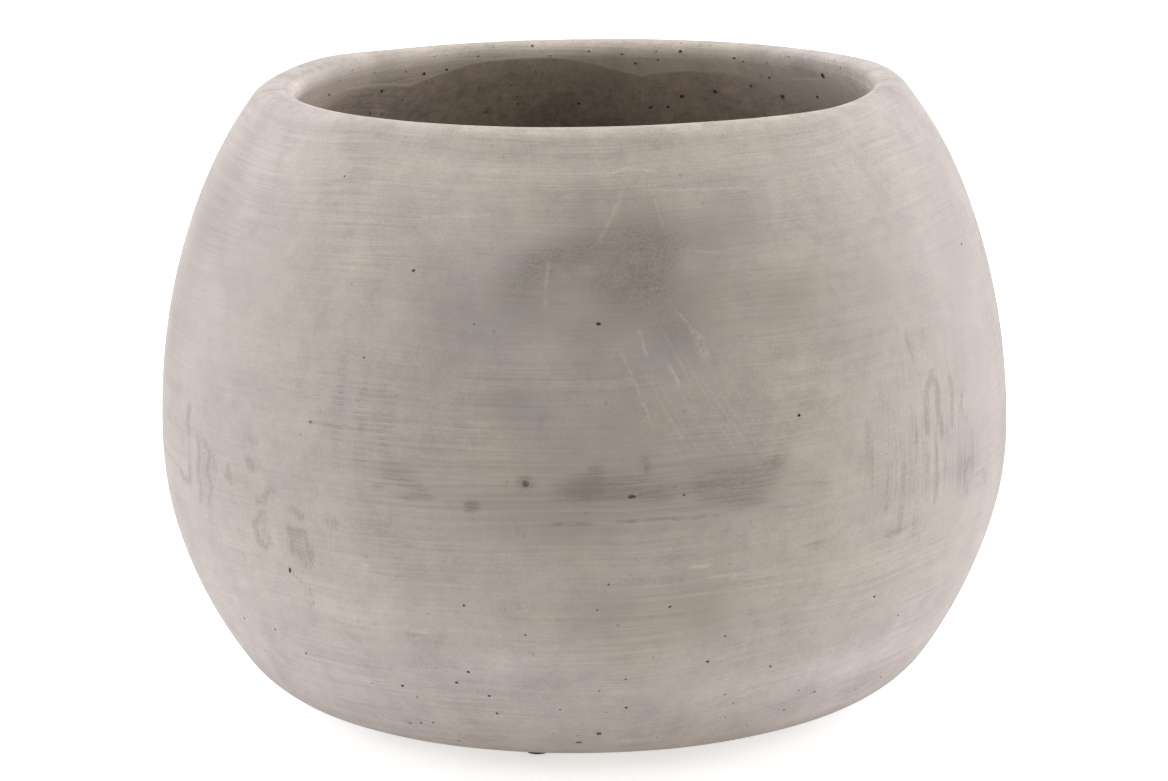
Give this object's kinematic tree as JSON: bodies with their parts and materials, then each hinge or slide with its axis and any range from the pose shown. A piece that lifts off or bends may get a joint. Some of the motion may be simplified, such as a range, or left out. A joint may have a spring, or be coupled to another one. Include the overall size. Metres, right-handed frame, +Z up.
{
  "type": "bowl planter",
  "caption": "Round cast-concrete planter with a full belly, a drawn-in open mouth with a rounded lip, a waterproof coat inside and stick-on rubber pads below.",
  "frame": {"origin": "on the bowl's axis, level with the soles of the foot pads, which is the centre of the underside of the bounding box", "axes": "+Z up along the bowl's axis of revolution, -Y towards the front as pictured, +X to the right"},
  "size_m": [0.3, 0.3, 0.2199],
  "materials": {
    "cast_concrete": "matte",
    "sealer": "satin",
    "pad_rubber": "matte",
    "pad_adhesive": "satin"
  },
  "bodies": {
    "root": {"concrete_bowl": "cast_concrete", "sealer_coat": "sealer", "foot_pad_front": "pad_rubber", "foot_pad_right": "pad_rubber", "foot_pad_back": "pad_rubber", "foot_pad_left": "pad_rubber", "pad_adhesive_front": "pad_adhesive", "pad_adhesive_right": "pad_adhesive", "pad_adhesive_back": "pad_adhesive", "pad_adhesive_left": "pad_adhesive"}
  },
  "joints": []
}
